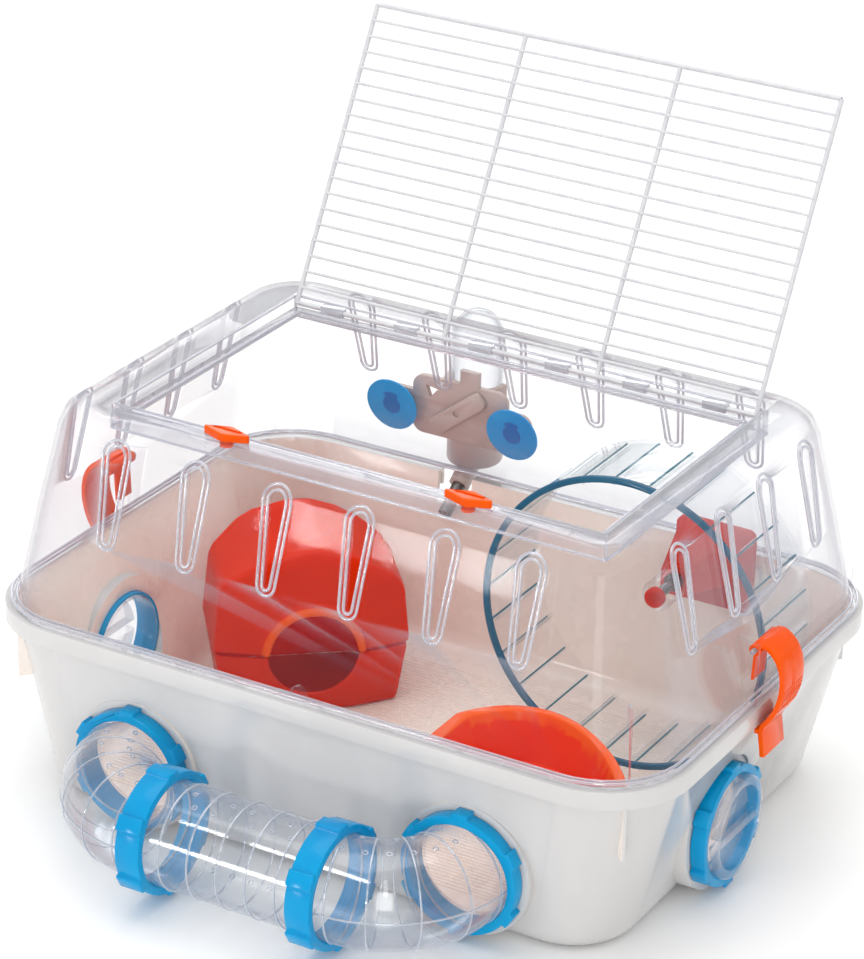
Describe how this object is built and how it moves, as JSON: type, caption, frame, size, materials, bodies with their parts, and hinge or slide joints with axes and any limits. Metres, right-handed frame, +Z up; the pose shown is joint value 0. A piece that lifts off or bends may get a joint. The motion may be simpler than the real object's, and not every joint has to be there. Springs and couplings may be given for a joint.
{
  "type": "hamster cage",
  "caption": "Small animal cage: tapered tub, clear lift-off cover with a hinged wire lid, outside tube run, wheel, house, bowl and drinker.",
  "frame": {"origin": "middle of the flat underside of the tub", "axes": "+X along the long side, -Y the side with the outside tube run, +Z up"},
  "size_m": [0.4354, 0.4029, 0.3707],
  "materials": {
    "tub_plastic": "glossy off-white moulding with a faint marbling",
    "cover_clear": "crystal clear",
    "white_wire": "white coating",
    "orange_plastic": "vivid orange",
    "bracket_red": "translucent red-orange",
    "pin_clear": "clear",
    "ring_blue": "saturated blue",
    "tube_clear": "crystal clear with fine ribs",
    "wheel_clear": "clear with a faint teal tint",
    "wheel_teal": "dark teal",
    "steel": "brushed",
    "house_red": "translucent red-orange",
    "bowl_orange": "translucent orange",
    "bottle_clear": "clear",
    "taupe_plastic": "satin taupe",
    "suction_blue": "translucent soft vinyl"
  },
  "bodies": {
    "tub": {"tray": "tub_plastic", "wheel_bracket": "bracket_red", "wheel_axle": "steel", "wheel_hub_cap": "orange_plastic"},
    "cover": {"cover": "cover_clear", "roof_hinge_strip": "cover_clear", "clip_pin_left": "pin_clear", "clip_pin_right": "pin_clear", "bottle_holder": "taupe_plastic", "lever_pin": "taupe_plastic", "suction_cup_left": "suction_blue", "suction_cup_right": "suction_blue"},
    "lid": {"roof_grid": "white_wire"},
    "tube_run": {"elbow_left": "tube_clear", "elbow_right": "tube_clear", "straight_tube": "tube_clear"},
    "wheel": {"wheel_drum": "wheel_clear", "wheel_ring": "wheel_teal"},
    "house": {"house_base": "house_red"},
    "house_top": {"house_roof": "house_red"},
    "bowl": {"food_bowl": "bowl_orange"},
    "drinker": {"bottle": "bottle_clear", "bottle_cap": "taupe_plastic", "bottle_nozzle": "steel"},
    "valve_ball": {"nozzle_ball": "steel"},
    "lever": {"holder_lever": "taupe_plastic"},
    "latch_left": {"roof_latch_left": "orange_plastic"},
    "clip_left": {"side_clip_left": "orange_plastic"},
    "collar_left": {"joint_ring_left": "ring_blue"},
    "cap_left": {"side_cap_left": "tube_clear"},
    "port_front_left": {"port_ring_front_left": "ring_blue"},
    "port_side_left": {"port_ring_side_left": "ring_blue"},
    "latch_right": {"roof_latch_right": "orange_plastic"},
    "clip_right": {"side_clip_right": "orange_plastic"},
    "collar_right": {"joint_ring_right": "ring_blue"},
    "cap_right": {"side_cap_right": "tube_clear"},
    "port_front_right": {"port_ring_front_right": "ring_blue"},
    "port_side_right": {"port_ring_side_right": "ring_blue"}
  },
  "joints": [
    {"name": "cover_lift", "type": "slide", "parent": "tub", "child": "cover", "axis": [0, 0, 1], "range_m": [0, 0.055]},
    {"name": "lid_hinge", "type": "hinge", "parent": "cover", "child": "lid", "pos_m": [0, 0.086, 0.2168], "axis": [1, 0, 0], "range_deg": [0, 118.8]},
    {"name": "tube_run_pull", "type": "slide", "parent": "tub", "child": "tube_run", "axis": [0, -1, 0], "range_m": [0, 0.05]},
    {"name": "wheel_spin", "type": "hinge", "parent": "tub", "child": "wheel", "pos_m": [0.1025, 0.05, 0.109], "axis": [0, 1, 0], "continuous": true},
    {"name": "house_lift", "type": "slide", "parent": "tub", "child": "house", "axis": [0, 0, 1], "range_m": [0, 0.06]},
    {"name": "house_top_lift", "type": "slide", "parent": "house", "child": "house_top", "axis": [0, 0, 1], "range_m": [0, 0.035]},
    {"name": "bowl_lift", "type": "slide", "parent": "tub", "child": "bowl", "axis": [0, 0, 1], "range_m": [0, 0.006]},
    {"name": "bottle_pull", "type": "slide", "parent": "cover", "child": "drinker", "axis": [0, 0.8039, 0.5948], "range_m": [0, 0.06]},
    {"name": "ball_push", "type": "slide", "parent": "drinker", "child": "valve_ball", "axis": [0, 0.8039, 0.5948], "range_m": [0, 0.0015]},
    {"name": "lever_turn", "type": "hinge", "parent": "cover", "child": "lever", "pos_m": [-0.069, 0.1412, 0.146], "axis": [0, 1, 0], "range_deg": [-52, 38]},
    {"name": "latch_left_turn", "type": "hinge", "parent": "cover", "child": "latch_left", "pos_m": [-0.072, -0.0965, 0.22], "axis": [0, 0, 1], "range_deg": [-90, 90]},
    {"name": "clip_left_swing", "type": "hinge", "parent": "cover", "child": "clip_left", "pos_m": [-0.2002, -0.01, 0.14], "axis": [0, 1, 0], "range_deg": [0, 75.5]},
    {"name": "collar_left_turn", "type": "hinge", "parent": "tube_run", "child": "collar_left", "pos_m": [-0.051, -0.19, 0.039], "axis": [1, 0, 0], "range_deg": [0, 30]},
    {"name": "cap_left_pull", "type": "slide", "parent": "tub", "child": "cap_left", "axis": [-1, 0, 0], "range_m": [0, 0.04]},
    {"name": "port_front_left_turn", "type": "hinge", "parent": "tub", "child": "port_front_left", "pos_m": [-0.101, -0.145, 0.039], "axis": [0, -1, 0], "range_deg": [0, 30]},
    {"name": "port_side_left_turn", "type": "hinge", "parent": "tub", "child": "port_side_left", "pos_m": [-0.192, -0.028, 0.039], "axis": [-1, 0, 0], "range_deg": [0, 30]},
    {"name": "latch_right_turn", "type": "hinge", "parent": "cover", "child": "latch_right", "pos_m": [0.072, -0.0965, 0.22], "axis": [0, 0, 1], "range_deg": [-90, 90]},
    {"name": "clip_right_swing", "type": "hinge", "parent": "cover", "child": "clip_right", "pos_m": [0.2002, -0.01, 0.14], "axis": [0, -1, 0], "range_deg": [0, 75.5]},
    {"name": "collar_right_turn", "type": "hinge", "parent": "tube_run", "child": "collar_right", "pos_m": [0.051, -0.19, 0.039], "axis": [1, 0, 0], "range_deg": [0, 30]},
    {"name": "cap_right_pull", "type": "slide", "parent": "tub", "child": "cap_right", "axis": [1, 0, 0], "range_m": [0, 0.04]},
    {"name": "port_front_right_turn", "type": "hinge", "parent": "tub", "child": "port_front_right", "pos_m": [0.101, -0.145, 0.039], "axis": [0, -1, 0], "range_deg": [0, 30]},
    {"name": "port_side_right_turn", "type": "hinge", "parent": "tub", "child": "port_side_right", "pos_m": [0.192, -0.028, 0.039], "axis": [1, 0, 0], "range_deg": [0, 30]}
  ],
  "couplings": [
    {"joint": "clip_left_swing", "follows": "cover_lift", "rad_per_m": 23.8},
    {"joint": "clip_right_swing", "follows": "cover_lift", "rad_per_m": 23.8}
  ]
}
